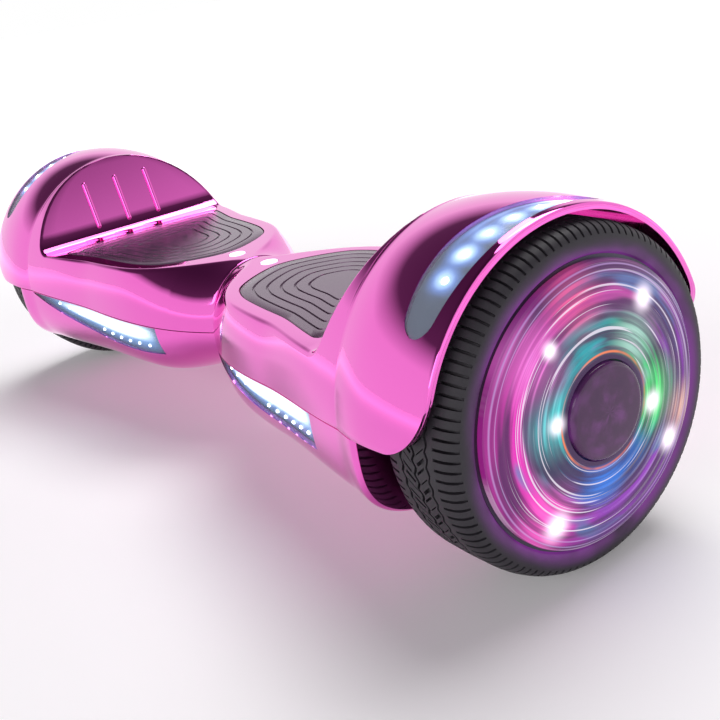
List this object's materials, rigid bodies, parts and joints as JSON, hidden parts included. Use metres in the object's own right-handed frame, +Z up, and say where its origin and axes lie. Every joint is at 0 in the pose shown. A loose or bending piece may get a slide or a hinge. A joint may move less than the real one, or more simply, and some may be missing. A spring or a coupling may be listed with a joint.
{
  "type": "self balancing hoverboard",
  "caption": "Two-wheeled self-balancing board: two hinged halves with footpads, hub-motor wheels under wide fenders, and lights in the wheels, fenders and front.",
  "frame": {"origin": "on the floor, under the middle of the pivot between the two halves; the board stands level on its wheels", "axes": "+X towards the rider's left wheel along the axles, -Y towards the front where the headlights are, +Z up"},
  "size_m": [0.6, 0.1838, 0.1745],
  "materials": {
    "cover": "mirror-bright metallic pink",
    "lens": "clear, lit from behind",
    "tyre": "matt black rubber",
    "pad": "smooth mauve rubber with grooves",
    "alloy": "as cast",
    "hub": "dark satin",
    "steel": "satin",
    "screw": "black oxide",
    "magnet": "nickel plated",
    "stator": "laminations and copper",
    "bush": "sintered bronze",
    "board": "green solder mask",
    "wheel_cover": "clear, lit from behind in colour",
    "cap": "gloss black",
    "seal": "matt",
    "cable": "matt",
    "battery": "blue film over the cells",
    "bracket": "black",
    "socket": "black with metal pins",
    "rubber_cap": "matt pink-red",
    "button": "gloss pink"
  },
  "bodies": {
    "left_half": {"left_top_cover": "cover", "left_bottom_cover": "cover", "left_cover_screws": "screw", "left_frame": "alloy", "left_axle_clamp": "alloy", "left_clamp_bolts": "screw", "left_axle": "steel", "left_stator": "stator", "left_sensor_board": "board", "left_headlight_lens": "lens", "left_headlight_board": "board", "left_fender_light_lens": "lens", "left_fender_light_board": "board", "left_indicator_lens": "lens", "pivot_shaft": "steel", "pivot_circlip": "steel", "stop_pin": "steel", "joint_seal": "seal", "harness_cable": "cable", "control_board": "board"},
    "right_half": {"right_top_cover": "cover", "right_bottom_cover": "cover", "right_cover_screws": "screw", "right_frame": "alloy", "right_axle_clamp": "alloy", "right_clamp_bolts": "screw", "right_axle": "steel", "right_stator": "stator", "right_sensor_board": "board", "right_headlight_lens": "lens", "right_headlight_board": "board", "right_fender_light_lens": "lens", "right_fender_light_board": "board", "right_indicator_lens": "lens", "pivot_bushes": "bush", "battery_pack": "battery", "battery_bracket": "bracket", "right_motor_cable": "cable", "charge_socket": "socket"},
    "left_wheel": {"left_tyre": "tyre", "left_hub_shell": "hub", "left_hub_side_cover": "hub", "left_magnets": "magnet", "left_wheel_bearings": "steel", "left_wheel_light_board": "board", "left_wheel_light_cover": "wheel_cover", "left_wheel_cap": "cap"},
    "right_wheel": {"right_tyre": "tyre", "right_hub_shell": "hub", "right_hub_side_cover": "hub", "right_magnets": "magnet", "right_wheel_bearings": "steel", "right_wheel_light_board": "board", "right_wheel_light_cover": "wheel_cover", "right_wheel_cap": "cap"},
    "left_pad": {"left_footpad": "pad"},
    "right_pad": {"right_footpad": "pad"},
    "button": {"power_button": "button"},
    "cap": {"socket_cap": "rubber_cap"}
  },
  "joints": [
    {"name": "twist", "type": "hinge", "parent": "left_half", "child": "right_half", "pos_m": [0, 0, 0.079], "axis": [1, 0, 0], "range_deg": [-12, 12]},
    {"name": "left_wheel_spin", "type": "hinge", "parent": "left_half", "child": "left_wheel", "pos_m": [0.265, 0, 0.0825], "axis": [1, 0, 0], "continuous": true},
    {"name": "right_wheel_spin", "type": "hinge", "parent": "right_half", "child": "right_wheel", "pos_m": [-0.265, 0, 0.0825], "axis": [1, 0, 0], "continuous": true},
    {"name": "left_pad_press", "type": "slide", "parent": "left_half", "child": "left_pad", "axis": [0, 0, 1], "range_m": [-0.0015, 0], "stiffness_N_per_m": 1500, "springref_m": 0.004},
    {"name": "right_pad_press", "type": "slide", "parent": "right_half", "child": "right_pad", "axis": [0, 0, 1], "range_m": [-0.0015, 0], "stiffness_N_per_m": 1500, "springref_m": 0.004},
    {"name": "power_button_press", "type": "slide", "parent": "right_half", "child": "button", "axis": [0, 0, 1], "range_m": [0, 0.0012], "stiffness_N_per_m": 400, "springref_m": -0.002},
    {"name": "socket_cap_swing", "type": "hinge", "parent": "right_half", "child": "cap", "pos_m": [-0.104, 0.0334, 0.0304], "axis": [1, 0, 0], "range_deg": [0, 100]}
  ]
}
